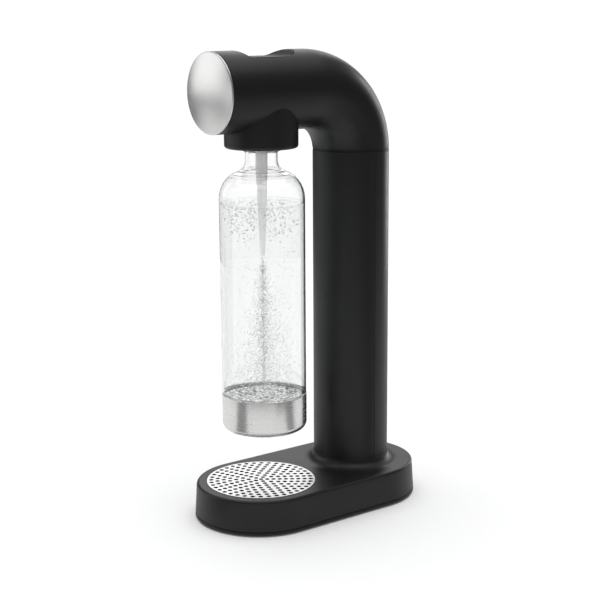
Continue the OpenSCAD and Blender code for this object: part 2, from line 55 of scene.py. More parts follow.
def camera_at(place, yaw, pitch, roll, lens, shift):
    y, p, r = (math.radians(a) for a in (yaw, pitch, roll))
    ahead = Vector((-math.sin(y) * math.cos(p), math.cos(y) * math.cos(p), -math.sin(p)))
    right = ahead.cross(Vector((0, 0, 1))).normalized()
    up = right.cross(ahead)
    across = right * math.cos(r) + up * math.sin(r)
    upward = up * math.cos(r) - right * math.sin(r)
    data = bpy.data.cameras.new("camera")
    data.lens, data.sensor_width = lens, 36
    data.shift_x, data.shift_y = shift
    data.clip_start = 0.02
    eye = bpy.data.objects.new("camera", data)
    scene.collection.objects.link(eye)
    turn = Matrix((across, upward, -ahead)).transposed().to_4x4()
    eye.matrix_world = Matrix.Translation(place) @ turn
    scene.camera = eye


camera_at((0.97403, -0.74553, 0.45874), 52.905, 12.136, -0.401, 81.28, (0.0032, 0.0017))


def add(tree, kind, wires=None, **settings):
    """Places a node; wires gives its inputs as sockets to link or as values."""
    made = tree.nodes.new(kind)
    for key, value in settings.items():
        setattr(made, key, value)
    for key, value in (wires or {}).items():
        if isinstance(value, bpy.types.NodeSocket):
            tree.links.new(value, made.inputs[key])
        else:
            made.inputs[key].default_value = value
    return made


def soft_panel(name, place, target, size, power):
    """An area lamp that only reflections see; it lights no dull surface."""
    data = bpy.data.lights.new(name, "AREA")
    data.shape = "RECTANGLE"
    data.size, data.size_y = size
    data.energy = power
    lamp = bpy.data.objects.new(name, data)
    scene.collection.objects.link(lamp)
    lamp.location = place
    lamp.rotation_euler = (Vector(target) - Vector(place)).to_track_quat("-Z", "Y").to_euler()
    lamp.visible_camera = lamp.visible_transmission = lamp.visible_diffuse = False


def seen_directly(tree):
    """1 for rays from the camera, also through clear plastic; 0 for all others."""
    path = add(tree, "ShaderNodeLightPath")
    seen = add(tree, "ShaderNodeMath", {0: path.outputs["Is Camera Ray"],
                                        1: path.outputs["Is Transmission Ray"]},
               operation="MAXIMUM")
    return seen.outputs[0]


def studio():
    world = bpy.data.worlds.new("white room")
    scene.world = world
    world.use_nodes = True
    tree = world.node_tree
    tree.nodes.clear()
    seen = seen_directly(tree)
    light = add(tree, "ShaderNodeBackground", {"Color": (0.97, 0.985, 1, 1), "Strength": 0.14})
    plain = add(tree, "ShaderNodeBackground", {"Color": (1, 1, 1, 1), "Strength": 1.04})
    mix = add(tree, "ShaderNodeMixShader", {0: seen, 1: light.outputs[0],
                                            2: plain.outputs[0]})
    add(tree, "ShaderNodeOutputWorld", {"Surface": mix.outputs[0]})

    sun = bpy.data.lights.new("overhead light", "SUN")
    sun.energy = 3.4
    sun.angle = math.radians(90)
    over = bpy.data.objects.new("overhead light", sun)
    scene.collection.objects.link(over)
    over.rotation_euler = (math.radians(-4), math.radians(-4), 0)
    over.visible_glossy = False

    soft_panel("overhead panel", (0.0, 0.1, 1.75), (0, 0.1, 0.3), (1.9, 1.9), 13.5)
    soft_panel("front panel", (-0.52, -1.44, 0.25), (0, -0.1, 0.35), (0.40, 0.50), 0.55)
    soft_panel("left floor panel", (-1.42, -1.07, 0.003), (-1.42, -1.07, 1.0), (0.85, 0.85), 1.3)
    soft_panel("left front panel", (-1.55, -1.2, 0.80), (0, -0.1, 0.45), (1.6, 1.1), 6.0)
    soft_panel("back left panel", (-1.35, 1.05, 1.13), (0, 0, 0.3), (1.3, 1.15), 8.2)
    soft_panel("right rim strip", (-0.45, 1.75, 0.40), (0, 0.05, 0.25), (0.22, 1.3), 8)

    grey = bpy.data.materials.new("grey card")
    grey.use_nodes = True
    inputs = grey.node_tree.nodes["Principled BSDF"].inputs
    inputs["Base Color"].default_value = (0, 0, 0, 1)
    inputs["Specular IOR Level"].default_value = 0
    inputs["Emission Color"].default_value = (1, 1, 1, 1)
    inputs["Emission Strength"].default_value = 0.23
    half_angle, card_height, above_floor = math.radians(13), 0.13, 0.002
    for name, azimuth, near, far in (("front card", -97, 0.16, 1.45),
                                     ("right card", 28, 0.16, 0.60),
                                     ("far right card", 4, 0.60, 1.45)):
        bpy.ops.object.select_all(action="DESELECT")
        bpy.ops.mesh.primitive_plane_add(size=1.0, location=(0.5, 0, 0))
        card = bpy.context.object
        card.name = name
        bpy.ops.object.transform_apply(location=True, rotation=True, scale=True)
        bpy.ops.object.mode_set(mode="EDIT")
        bpy.ops.mesh.select_mode(type="EDGE")
        bpy.ops.mesh.select_all(action="DESELECT")
        bpy.ops.object.mode_set(mode="OBJECT")
        for edge in card.data.edges:
            ends = [card.data.vertices[v].co.x for v in edge.vertices]
            edge.select = min(ends) > 0.9
        bpy.ops.object.mode_set(mode="EDIT")
        bpy.ops.transform.resize(value=(1, far / near, 1), center_override=(1, 0, 0))
        bpy.ops.mesh.extrude_edges_move(TRANSFORM_OT_translate={"value": (0, 0, 1.0)})
        bpy.ops.object.mode_set(mode="OBJECT")
        turn = math.radians(azimuth)
        card.scale = (far - near, 2 * near * math.tan(half_angle), card_height)
        card.location = (near * math.cos(turn), near * math.sin(turn), above_floor)
        card.rotation_euler = (0, 0, turn)
        card.data.materials.append(grey)
        card.visible_camera = card.visible_transmission = False
        card.visible_diffuse = card.visible_shadow = False

    bpy.ops.object.select_all(action="DESELECT")
    bpy.ops.mesh.primitive_circle_add(vertices=96, radius=1.3, fill_type="NGON")
    floor = bpy.context.object
    floor.name = "floor"
    paper = bpy.data.materials.new("white paper floor")
    paper.use_nodes = True
    tree = paper.node_tree
    shader = tree.nodes["Principled BSDF"]
    shader.inputs["Roughness"].default_value = 0.9
    shader.inputs["Specular IOR Level"].default_value = 0.1
    seen = seen_directly(tree)
    paleness = add(tree, "ShaderNodeMapRange", {"Value": seen, "To Min": 0.66,
                                                "To Max": 0.82})
    tree.links.new(paleness.outputs[0], shader.inputs["Base Color"])
    lift = add(tree, "ShaderNodeMath", {0: seen, 1: 0.075}, operation="MULTIPLY")
    shader.inputs["Emission Color"].default_value = (1, 1, 1, 1)
    tree.links.new(lift.outputs[0], shader.inputs["Emission Strength"])
    floor.data.materials.append(paper)


studio()


# ---- Base: a hollow moulding with two round ends and a cove at the column's
# ---- foot, closed from below by a plate on six screws, with rubber feet.
# ---- Satin black ABS, its skin finely spark-eroded and rubbed a little on edges.
def effect(name, inputs, outputs):
    group = bpy.data.node_groups.new(name, "ShaderNodeTree")
    for label, kind, value in inputs:
        socket = group.interface.new_socket(label, in_out="INPUT", socket_type=kind)
        if value is not None:
            socket.default_value = value
    for label, kind in outputs:
        group.interface.new_socket(label, in_out="OUTPUT", socket_type=kind)
    entry = group.nodes.new("NodeGroupInput")
    leave = group.nodes.new("NodeGroupOutput")
    return group, entry, leave


def edge_rub_effect():
    """A mask of the convex edges, broken up so that the rubbing is uneven."""
    group, entry, leave = effect("edge rub",
                                 [("Vector", "NodeSocketVector", None),
                                  ("Width", "NodeSocketFloat", 0.0006)],
                                 [("Mask", "NodeSocketFloat")])
    bevel = add(group, "ShaderNodeBevel", {"Radius": entry.outputs["Width"]}, samples=4)
    shape = add(group, "ShaderNodeNewGeometry")
    dot = add(group, "ShaderNodeVectorMath", {0: bevel.outputs[0], 1: shape.outputs["Normal"]},
              operation="DOT_PRODUCT")
    edge = add(group, "ShaderNodeMapRange", {"Value": dot.outputs["Value"], "From Min": 0.985,
                                             "From Max": 0.82, "To Min": 0.0, "To Max": 1.0})
    noise = add(group, "ShaderNodeTexNoise", {"Vector": entry.outputs["Vector"], "Scale": 160.0,
                                              "Detail": 4.0, "Roughness": 0.7})
    broken = add(group, "ShaderNodeMapRange", {"Value": noise.outputs[0], "From Min": 0.35,
                                               "From Max": 0.65, "To Min": 0.2, "To Max": 1.0})
    mask = add(group, "ShaderNodeMath", {0: edge.outputs[0], 1: broken.outputs[0]},
               operation="MULTIPLY", use_clamp=True)
    group.links.new(mask.outputs[0], leave.inputs["Mask"])
    return group


def moulded_skin_effect():
    """Fine spark-eroded grain, and the slow change of gloss over a moulding."""
    group, entry, leave = effect("moulded skin",
                                 [("Vector", "NodeSocketVector", None),
                                  ("Grain Size", "NodeSocketFloat", 1400.0)],
                                 [("Grain", "NodeSocketFloat"), ("Gloss", "NodeSocketFloat")])
    fine = add(group, "ShaderNodeTexNoise", {"Vector": entry.outputs["Vector"],
                                             "Scale": entry.outputs["Grain Size"],
                                             "Detail": 3.0, "Roughness": 0.6})
    cells = add(group, "ShaderNodeTexVoronoi", {"Vector": entry.outputs["Vector"],
                                                "Scale": entry.outputs["Grain Size"]})
    both = add(group, "ShaderNodeMath", {0: fine.outputs[0], 1: cells.outputs["Distance"]},
               operation="MULTIPLY")
    slow = add(group, "ShaderNodeTexNoise", {"Vector": entry.outputs["Vector"], "Scale": 14.0,
                                             "Detail": 5.0, "Roughness": 0.6})
    specks = add(group, "ShaderNodeTexNoise", {"Vector": entry.outputs["Vector"], "Scale": 420.0,
                                               "Detail": 2.0})
    gloss = add(group, "ShaderNodeMath", {0: slow.outputs[0], 1: specks.outputs[0]},
                operation="ADD")
    gloss = add(group, "ShaderNodeMath", {0: gloss.outputs[0], 1: -1.0}, operation="ADD")
    group.links.new(both.outputs[0], leave.inputs["Grain"])
    group.links.new(gloss.outputs[0], leave.inputs["Gloss"])
    return group


def wiped_marks_effect():
    """Faint wiping marks: thin arcs that only the reflections show."""
    group, entry, leave = effect("wiped marks", [("Vector", "NodeSocketVector", None)],
                                 [("Marks", "NodeSocketFloat")])
    warp = add(group, "ShaderNodeTexNoise", {"Vector": entry.outputs["Vector"], "Scale": 9.0,
                                             "Detail": 2.0})
    bent = add(group, "ShaderNodeVectorMath", {0: entry.outputs["Vector"],
                                               1: warp.outputs["Color"]}, operation="ADD")
    lines = add(group, "ShaderNodeTexNoise", {"Vector": bent.outputs[0], "Scale": 60.0,
                                              "Detail": 6.0, "Roughness": 0.75,
                                              "Distortion": 1.5})
    marks = add(group, "ShaderNodeMapRange", {"Value": lines.outputs[0], "From Min": 0.56,
                                              "From Max": 0.72, "To Min": 0.0, "To Max": 1.0})
    group.links.new(marks.outputs[0], leave.inputs["Marks"])
    return group


EDGE_RUB = edge_rub_effect()
MOULDED_SKIN = moulded_skin_effect()
WIPED_MARKS = wiped_marks_effect()


def grouped(tree, group, wires):
    made = tree.nodes.new("ShaderNodeGroup")
    made.node_tree = group
    for key, value in wires.items():
        if isinstance(value, bpy.types.NodeSocket):
            tree.links.new(value, made.inputs[key])
        else:
            made.inputs[key].default_value = value
    return made


def moulded_plastic(name, colour, rubbed, gloss=0.42, spread=0.12, grain=0.00002,
                    specular=0.35, grain_size=1400.0, rub_width=0.0005):
    """Injection-moulded plastic: grain, uneven gloss, wiping marks, rubbed edges."""
    material = bpy.data.materials.new(name)
    material.use_nodes = True
    tree = material.node_tree
    shader = tree.nodes["Principled BSDF"]
    place = add(tree, "ShaderNodeTexCoord").outputs["Object"]
    skin = grouped(tree, MOULDED_SKIN, {"Vector": place, "Grain Size": grain_size})
    marks = grouped(tree, WIPED_MARKS, {"Vector": place})
    rub = grouped(tree, EDGE_RUB, {"Vector": place, "Width": rub_width})
    tint = add(tree, "ShaderNodeMix", {"Factor": rub.outputs["Mask"], "A": (*colour, 1),
                                       "B": (*rubbed, 1)}, data_type="RGBA")
    tree.links.new(tint.outputs["Result"], shader.inputs["Base Color"])
    rough = add(tree, "ShaderNodeMath", {0: skin.outputs["Gloss"], 1: spread, 2: gloss},
                operation="MULTIPLY_ADD")
    rough = add(tree, "ShaderNodeMath", {0: marks.outputs["Marks"], 1: 0.05, 2: rough.outputs[0]},
                operation="MULTIPLY_ADD")
    rough = add(tree, "ShaderNodeMath", {0: rub.outputs["Mask"], 1: -0.1, 2: rough.outputs[0]},
                operation="MULTIPLY_ADD", use_clamp=True)
    tree.links.new(rough.outputs[0], shader.inputs["Roughness"])
    bump = add(tree, "ShaderNodeBump", {"Height": skin.outputs["Grain"], "Strength": 0.5,
                                        "Distance": grain})
    tree.links.new(bump.outputs[0], shader.inputs["Normal"])
    shader.inputs["Specular IOR Level"].default_value = specular
    return material


def coat(material, *names):
    """Puts one finish on all the material slots of the named CAD nodes."""
    for name in names:
        part = NODES[name]
        if not part.material_slots:
            part.data.materials.append(material)
        for slot in part.material_slots:
            slot.material = material


black_satin = moulded_plastic("black satin casing", (0.0075, 0.0075, 0.008),
                              (0.04, 0.04, 0.04), specular=0.48)
coat(black_satin, "base_housing", "bottom_plate")


def soft_rubber(name, colour):
    """Moulded rubber: dull, with uneven patches of dust, with a fine stipple."""
    material = bpy.data.materials.new(name)
    material.use_nodes = True
    tree = material.node_tree
    shader = tree.nodes["Principled BSDF"]
    place = add(tree, "ShaderNodeTexCoord").outputs["Object"]
    dust = add(tree, "ShaderNodeTexNoise", {"Vector": place, "Scale": 180.0, "Detail": 6.0,
                                            "Roughness": 0.7})
    tint = add(tree, "ShaderNodeMix", {"Factor": dust.outputs[0], "A": (*colour, 1),
                                       "B": (*(2.2 * c for c in colour), 1)}, data_type="RGBA")
    tree.links.new(tint.outputs["Result"], shader.inputs["Base Color"])
    rough = add(tree, "ShaderNodeMapRange", {"Value": dust.outputs[0], "To Min": 0.68,
                                             "To Max": 0.95})
    tree.links.new(rough.outputs[0], shader.inputs["Roughness"])
    stipple = add(tree, "ShaderNodeTexVoronoi", {"Vector": place, "Scale": 1900.0})
    bump = add(tree, "ShaderNodeBump", {"Height": stipple.outputs["Distance"], "Strength": 0.5,
                                        "Distance": 0.00008})
    tree.links.new(bump.outputs[0], shader.inputs["Normal"])
    shader.inputs["Specular IOR Level"].default_value = 0.3
    return material


rubber = soft_rubber("black rubber", (0.018, 0.018, 0.018))
coat(rubber, "rubber_feet", "cylinder_seat", "cylinder_seal", "bottle_seal")


def machined_metal(name, colour, roughness, lines, depth=0.000006, tarnish=0.12):
    """Turned or drawn metal: fine tool lines along the way it was worked."""
    material = bpy.data.materials.new(name)
    material.use_nodes = True
    tree = material.node_tree
    shader = tree.nodes["Principled BSDF"]
    place = add(tree, "ShaderNodeTexCoord").outputs["Object"]
    along = add(tree, "ShaderNodeMapping", {"Vector": place, "Scale": lines})
    streak = add(tree, "ShaderNodeTexNoise", {"Vector": along.outputs[0], "Scale": 1.0,
                                              "Detail": 5.0, "Roughness": 0.65})
    stain = add(tree, "ShaderNodeTexNoise", {"Vector": place, "Scale": 70.0, "Detail": 5.0})
    rub = grouped(tree, EDGE_RUB, {"Vector": place, "Width": 0.0003})
    dull = add(tree, "ShaderNodeMath", {0: stain.outputs[0], 1: tarnish}, operation="MULTIPLY")
    tint = add(tree, "ShaderNodeMix", {"Factor": dull.outputs[0], "A": (*colour, 1),
                                       "B": (*(0.45 * c for c in colour), 1)}, data_type="RGBA")
    worn = add(tree, "ShaderNodeMix", {"Factor": rub.outputs["Mask"],
                                       "A": tint.outputs["Result"],
                                       "B": (*(min(1, 1.15 * c) for c in colour), 1)},
               data_type="RGBA")
    tree.links.new(worn.outputs["Result"], shader.inputs["Base Color"])
    rough = add(tree, "ShaderNodeMapRange", {"Value": streak.outputs[0],
                                             "To Min": roughness - 0.09,
                                             "To Max": roughness + 0.12})
    tree.links.new(rough.outputs[0], shader.inputs["Roughness"])
    bump = add(tree, "ShaderNodeBump", {"Height": streak.outputs[0], "Strength": 0.4,
                                        "Distance": depth})
    tree.links.new(bump.outputs[0], shader.inputs["Normal"])
    shader.inputs["Metallic"].default_value = 1.0
    return material


bright_steel = machined_metal("bright screw steel", (0.62, 0.62, 0.63), 0.26,
                              (300.0, 300.0, 2600.0))
coat(bright_steel, "base_screws")


# ---- Drip tray: a round dark plastic dish that drops into a well in the base,
# ---- under a flat perforated steel grille that lifts out to be rinsed.
dark_matt = moulded_plastic("dark grey plastic", (0.045, 0.045, 0.047), (0.09, 0.09, 0.09),
                            gloss=0.5, grain=0.00003)
coat(dark_matt, "drip_tray")


def pressed_steel(name, colour, roughness):
    """Satin sheet steel after punching: rolled grain, bright hole edges, drips,
    and painted shade: the walls of the punched holes are coloured near-black."""
    material = bpy.data.materials.new(name)
    material.use_nodes = True
    tree = material.node_tree
    shader = tree.nodes["Principled BSDF"]
    place = add(tree, "ShaderNodeTexCoord").outputs["Object"]
    along = add(tree, "ShaderNodeMapping", {"Vector": place, "Scale": (30.0, 1500.0, 30.0)})
    rolled = add(tree, "ShaderNodeTexNoise", {"Vector": along.outputs[0], "Scale": 1.0,
                                              "Detail": 6.0, "Roughness": 0.7})
    drips = add(tree, "ShaderNodeTexNoise", {"Vector": place, "Scale": 45.0, "Detail": 6.0,
                                             "Roughness": 0.65})
    rub = grouped(tree, EDGE_RUB, {"Vector": place, "Width": 0.00025})
    tint = add(tree, "ShaderNodeMix", {"Factor": rub.outputs["Mask"], "A": (*colour, 1),
                                       "B": (0.95, 0.95, 0.94, 1)}, data_type="RGBA")
    # Painted shade: near-upright faces, which are the walls of the punched holes, are coloured
    # near-black for the shade inside the holes.
    facing = add(tree, "ShaderNodeSeparateXYZ",
                 {0: add(tree, "ShaderNodeTexCoord").outputs["Normal"]})
    level = add(tree, "ShaderNodeMath", {0: facing.outputs["Z"]}, operation="ABSOLUTE")
    flat = add(tree, "ShaderNodeMapRange", {"Value": level.outputs[0], "From Min": 0.3,
                                            "From Max": 0.8})
    tint = add(tree, "ShaderNodeMix", {"Factor": flat.outputs[0], "A": (0.015, 0.015, 0.015, 1),
                                       "B": tint.outputs["Result"]}, data_type="RGBA")
    tree.links.new(tint.outputs["Result"], shader.inputs["Base Color"])
    rough = add(tree, "ShaderNodeMapRange", {"Value": rolled.outputs[0],
                                             "To Min": roughness - 0.08,
                                             "To Max": roughness + 0.10})
    rough = add(tree, "ShaderNodeMath", {0: drips.outputs[0], 1: 0.12, 2: rough.outputs[0]},
                operation="MULTIPLY_ADD")
    tree.links.new(rough.outputs[0], shader.inputs["Roughness"])
    bump = add(tree, "ShaderNodeBump", {"Height": rolled.outputs[0], "Strength": 0.35,
                                        "Distance": 0.000008})
    tree.links.new(bump.outputs[0], shader.inputs["Normal"])
    shader.inputs["Metallic"].default_value = 1.0
    return material


grille_steel = pressed_steel("satin punched steel", (0.88, 0.88, 0.87), 0.36)
coat(grille_steel, "drip_grille")


# ---- Column: a tube in two shells of the same black plastic round an inner
# ---- frame; the rear shell pulls off backwards to change the gas cylinder.
coat(black_satin, "column_front_shell", "column_rear_cover")
coat(dark_matt, "column_frame")
coat(bright_steel, "frame_screws")
black_ring = moulded_plastic("black shadow ring", (0.006, 0.006, 0.006), (0.02, 0.02, 0.02),
                             gloss=0.55)
coat(black_ring, "column_ring")


# ---- Gas side: a drawn steel cylinder with brass valve, standing on a rubber
# ---- seat and screwed up into a turned brass block with its plunger.
cylinder_grey = machined_metal("drawn cylinder steel", (0.55, 0.57, 0.59), 0.34,
                               (40.0, 40.0, 1200.0), tarnish=0.3)
brass = machined_metal("turned brass", (0.72, 0.52, 0.24), 0.28, (200.0, 200.0, 2400.0),
                       tarnish=0.4)
coat(cylinder_grey, "co2_cylinder")
coat(brass, "co2_valve", "valve_block", "hose_fittings", "safety_valve_body")
coat(bright_steel, "co2_valve_pin", "co2_valve_spring", "valve_screws", "valve_plunger",
     "safety_valve_poppet", "safety_valve_spring")


# ---- Arm: two half shells joined down the middle, with the inner frame, the
# ---- lever and the gas hose inside, and a rounded collar over the bottle.
coat(black_satin, "head_shell_left", "head_shell_right", "bottle_collar")
coat(black_ring, "cap_carrier")
coat(dark_matt, "head_frame", "lever")
coat(bright_steel, "head_screws", "lever_pin", "lever_spring", "button_pin", "nozzle_screws")
black_button = moulded_plastic("black button", (0.009, 0.009, 0.0095), (0.05, 0.05, 0.05),
                               gloss=0.55, specular=0.3)
coat(black_button, "push_button")
white_part = moulded_plastic("natural white plastic", (0.62, 0.62, 0.60), (0.7, 0.7, 0.69),
                             gloss=0.4, specular=0.5)
coat(white_part, "gas_hose", "nozzle_block", "bottle_socket")


# ---- Front disc: a pressed, slightly domed cap of brushed stainless steel
# ---- with its edge turned back, clipped over the arm's round end.
def brushed_steel(name, colour, roughness, brushing, depth=0.00001):
    """Stainless steel brushed one way, with faint finger marks."""
    material = bpy.data.materials.new(name)
    material.use_nodes = True
    tree = material.node_tree
    shader = tree.nodes["Principled BSDF"]
    place = add(tree, "ShaderNodeTexCoord").outputs["Object"]
    along = add(tree, "ShaderNodeMapping", {"Vector": place, "Scale": brushing})
    coarse = add(tree, "ShaderNodeTexNoise", {"Vector": along.outputs[0], "Scale": 1.0,
                                              "Detail": 7.0, "Roughness": 0.75})
    fine = add(tree, "ShaderNodeTexNoise", {"Vector": along.outputs[0], "Scale": 3.7,
                                            "Detail": 4.0, "Roughness": 0.7})
    streak = add(tree, "ShaderNodeMath", {0: coarse.outputs[0], 1: fine.outputs[0]},
                 operation="MULTIPLY")
    marks = grouped(tree, WIPED_MARKS, {"Vector": place})
    rub = grouped(tree, EDGE_RUB, {"Vector": place, "Width": 0.0004})
    shade = add(tree, "ShaderNodeMapRange", {"Value": streak.outputs[0], "From Min": 0.1,
                                             "From Max": 0.45, "To Min": 0.0, "To Max": 1.0})
    tint = add(tree, "ShaderNodeMix", {"Factor": shade.outputs[0],
                                       "A": (*(0.94 * c for c in colour), 1),
                                       "B": (*colour, 1)}, data_type="RGBA")
    worn = add(tree, "ShaderNodeMix", {"Factor": rub.outputs["Mask"],
                                       "A": tint.outputs["Result"],
                                       "B": (0.96, 0.96, 0.95, 1)}, data_type="RGBA")
    tree.links.new(worn.outputs["Result"], shader.inputs["Base Color"])
    rough = add(tree, "ShaderNodeMapRange", {"Value": streak.outputs[0], "From Min": 0.1,
                                             "From Max": 0.45, "To Min": roughness - 0.05,
                                             "To Max": roughness + 0.08})
    rough = add(tree, "ShaderNodeMath", {0: marks.outputs["Marks"], 1: 0.06,
                                         2: rough.outputs[0]}, operation="MULTIPLY_ADD")
    tree.links.new(rough.outputs[0], shader.inputs["Roughness"])
    bump = add(tree, "ShaderNodeBump", {"Height": streak.outputs[0], "Strength": 0.5,
                                        "Distance": depth})
    tree.links.new(bump.outputs[0], shader.inputs["Normal"])
    shader.inputs["Metallic"].default_value = 1.0
    return material


def begin():
    """Back to object mode with nothing selected."""
    if bpy.context.object and bpy.context.object.mode != "OBJECT":
        bpy.ops.object.mode_set(mode="OBJECT")
    bpy.ops.object.select_all(action="DESELECT")


def turned(name, outline, sides=160):
    """A round piece about Z, drawn out ring by ring from one circle.

    The outline is a list of (radius, height) in metres. Rings that meet on the
    axis or on each other are joined."""
    begin()
    tiny = 0.00001
    radius, height = outline[0]
    radius = max(radius, tiny)
    bpy.ops.mesh.primitive_circle_add(vertices=sides, radius=radius, fill_type="NOTHING",
                                      location=(0, 0, height))
    piece = bpy.context.object
    piece.name = name
    bpy.ops.object.transform_apply(location=True, rotation=True, scale=True)
    bpy.ops.object.mode_set(mode="EDIT")
    bpy.ops.mesh.select_mode(type="EDGE")
    bpy.ops.mesh.select_all(action="SELECT")
    for wide, high in outline[1:]:
        wide = max(wide, tiny)
        bpy.ops.mesh.extrude_edges_move(
            TRANSFORM_OT_translate={"value": (0, 0, high - height)})
        factor = wide / radius
        bpy.ops.transform.resize(value=(factor, factor, 1), center_override=(0, 0, high))
        radius, height = wide, high
    bpy.ops.mesh.select_all(action="SELECT")
    bpy.ops.mesh.remove_doubles(threshold=0.000021)
    bpy.ops.mesh.normals_make_consistent(inside=False)
    bpy.ops.object.mode_set(mode="OBJECT")
    return piece


def bend(centre, radius, start, stop, steps):
    """Points on an arc in the outline's plane; 0 points outwards, 90 up."""
    out = []
    for k in range(steps + 1):
        a = math.radians(start + (stop - start) * k / steps)
        out.append((centre[0] + radius * math.cos(a), centre[1] + radius * math.sin(a)))
    return out


def set_down(piece, place, turn=(0, 0, 0)):
    """Turns and places a finished piece and writes that into its mesh."""
    begin()
    piece.select_set(True)
    bpy.context.view_layer.objects.active = piece
    piece.location = place
    piece.rotation_euler = turn
    bpy.ops.object.transform_apply(location=True, rotation=True, scale=True)


def finish(piece, material, body, slot, *stands_for, angle=35):
    """Shading, finish and body of one new piece; the slot argument is not used."""
    begin()
    piece.select_set(True)
    bpy.context.view_layer.objects.active = piece
    bpy.ops.object.shade_smooth_by_angle(angle=math.radians(angle))
    piece.data.materials.clear()
    piece.data.materials.append(material)
    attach(piece, body)
    if stands_for:
        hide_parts(*stands_for)


disc_steel = brushed_steel("brushed steel disc", (0.85, 0.85, 0.84), 0.31,
                           (16.0, 16.0, 1900.0), depth=0.000004)


def front_disc():
    low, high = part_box("front_cap")
    rim_r = (high.x - low.x) / 2
    deep = high.y - low.y
    lip, sheet = 0.0011, 0.0010
    dome = deep - 0.0012
    ball = (rim_r ** 2 + dome ** 2) / (2 * dome)

    def face(r, d=0.0):
        return deep - d - (ball - math.sqrt(ball ** 2 - r ** 2))

    slope = math.asin((rim_r - lip) / ball)
    join_r = rim_r - lip + lip * math.sin(slope)
    join_h = face(join_r) - lip * math.cos(slope)
    outside = [(join_r * k / 24, face(join_r * k / 24)) for k in range(25)]
    rolled = bend((rim_r - lip, join_h), lip, 90 - math.degrees(slope), 0, 8)[1:]
    back = bend((rim_r - 0.0003, 0.0003), 0.0003, 0, -180, 6)
    back += bend((rim_r - lip, join_h), lip - 0.0006, 0, 90 - math.degrees(slope), 5)
    under = [(join_r * k / 16, face(join_r * k / 16, sheet)) for k in range(15, -1, -1)]
    piece = turned("domed_front_disc", outside + rolled + back + under)
    set_down(piece, ((low.x + high.x) / 2, high.y, (low.z + high.z) / 2),
             (math.radians(90), 0, 0))
    finish(piece, disc_steel, "machine", "brushed_steel", "front_cap", angle=50)


front_disc()


# ---- Nozzle: a tapered tube of smoky translucent plastic that dips into the
# ---- water and blows the gas in at its tip.
def smoky_plastic(name, colour):
    material = bpy.data.materials.new(name)
    material.use_nodes = True
    tree = material.node_tree
    shader = tree.nodes["Principled BSDF"]
    place = add(tree, "ShaderNodeTexCoord").outputs["Object"]
    flow = add(tree, "ShaderNodeMapping", {"Vector": place, "Scale": (400.0, 400.0, 40.0)})
    cloud = add(tree, "ShaderNodeTexNoise", {"Vector": flow.outputs[0], "Scale": 1.0,
                                             "Detail": 4.0})
    tint = add(tree, "ShaderNodeMix", {"Factor": cloud.outputs[0], "A": (*colour, 1),
                                       "B": (*(1.25 * c for c in colour), 1)},
               data_type="RGBA")
    tree.links.new(tint.outputs["Result"], shader.inputs["Base Color"])
    rough = add(tree, "ShaderNodeMapRange", {"Value": cloud.outputs[0], "To Min": 0.18,
                                             "To Max": 0.32})
    tree.links.new(rough.outputs[0], shader.inputs["Roughness"])
    bump = add(tree, "ShaderNodeBump", {"Height": cloud.outputs[0], "Strength": 0.3,
                                        "Distance": 0.00002})
    tree.links.new(bump.outputs[0], shader.inputs["Normal"])
    shader.inputs["Subsurface Weight"].default_value = 0.3
    shader.inputs["Subsurface Scale"].default_value = 0.003
    return material


coat(smoky_plastic("smoky nozzle plastic", (0.76, 0.77, 0.77)), "nozzle_tube")


# ---- Bottle: blow-moulded clear plastic with a threaded neck, standing in a
# ---- brushed steel cup that is pressed on to its foot.
def clear_wall(name, colour, ior, roughness=0.02, thin_marks=0.0):
    """A clear wall with the slight waves of blowing. It lets the lamps through,
    and reflections in the dark plastic and steel look straight through it."""
    material = bpy.data.materials.new(name)
    material.use_nodes = True
    tree = material.node_tree
    shader = tree.nodes["Principled BSDF"]
    place = add(tree, "ShaderNodeTexCoord").outputs["Object"]
    waves = add(tree, "ShaderNodeTexNoise", {"Vector": place, "Scale": 22.0, "Detail": 3.0})
    scuffs = grouped(tree, WIPED_MARKS, {"Vector": place})
    rough = add(tree, "ShaderNodeMath", {0: scuffs.outputs["Marks"], 1: thin_marks,
                                         2: roughness}, operation="MULTIPLY_ADD")
    tree.links.new(rough.outputs[0], shader.inputs["Roughness"])
    bump = add(tree, "ShaderNodeBump", {"Height": waves.outputs[0], "Strength": 0.15,
                                        "Distance": 0.0006})
    tree.links.new(bump.outputs[0], shader.inputs["Normal"])
    tint = add(tree, "ShaderNodeMix", {"Factor": waves.outputs[0], "A": (*colour, 1),
                                       "B": (*(min(1, 1.02 * c) for c in colour), 1)},
               data_type="RGBA")
    tree.links.new(tint.outputs["Result"], shader.inputs["Base Color"])
    shader.inputs["Transmission Weight"].default_value = 1.0
    shader.inputs["IOR"].default_value = ior
    path = add(tree, "ShaderNodeLightPath")
    open_wall = add(tree, "ShaderNodeBsdfTransparent", {"Color": (0.96, 0.97, 0.97, 1)})
    outside = add(tree, "ShaderNodeMath", {0: path.outputs["Transmission Depth"], 1: 0.5},
                  operation="LESS_THAN")
    mirrored = add(tree, "ShaderNodeMath", {0: path.outputs["Is Glossy Ray"],
                                            1: outside.outputs[0]}, operation="MULTIPLY")
    passing = add(tree, "ShaderNodeMath", {0: path.outputs["Is Shadow Ray"],
                                           1: mirrored.outputs[0]}, operation="MAXIMUM")
    mix = add(tree, "ShaderNodeMixShader", {0: passing.outputs[0],
                                            1: shader.outputs[0], 2: open_wall.outputs[0]})
    tree.links.new(mix.outputs[0], tree.nodes["Material Output"].inputs["Surface"])
    return material


coat(clear_wall("clear blown plastic", (0.985, 0.99, 0.99), 1.45, thin_marks=0.03), "bottle")
cup_steel = brushed_steel("brushed steel cup", (0.91, 0.91, 0.90), 0.25,
                          (26.0, 26.0, 1700.0))


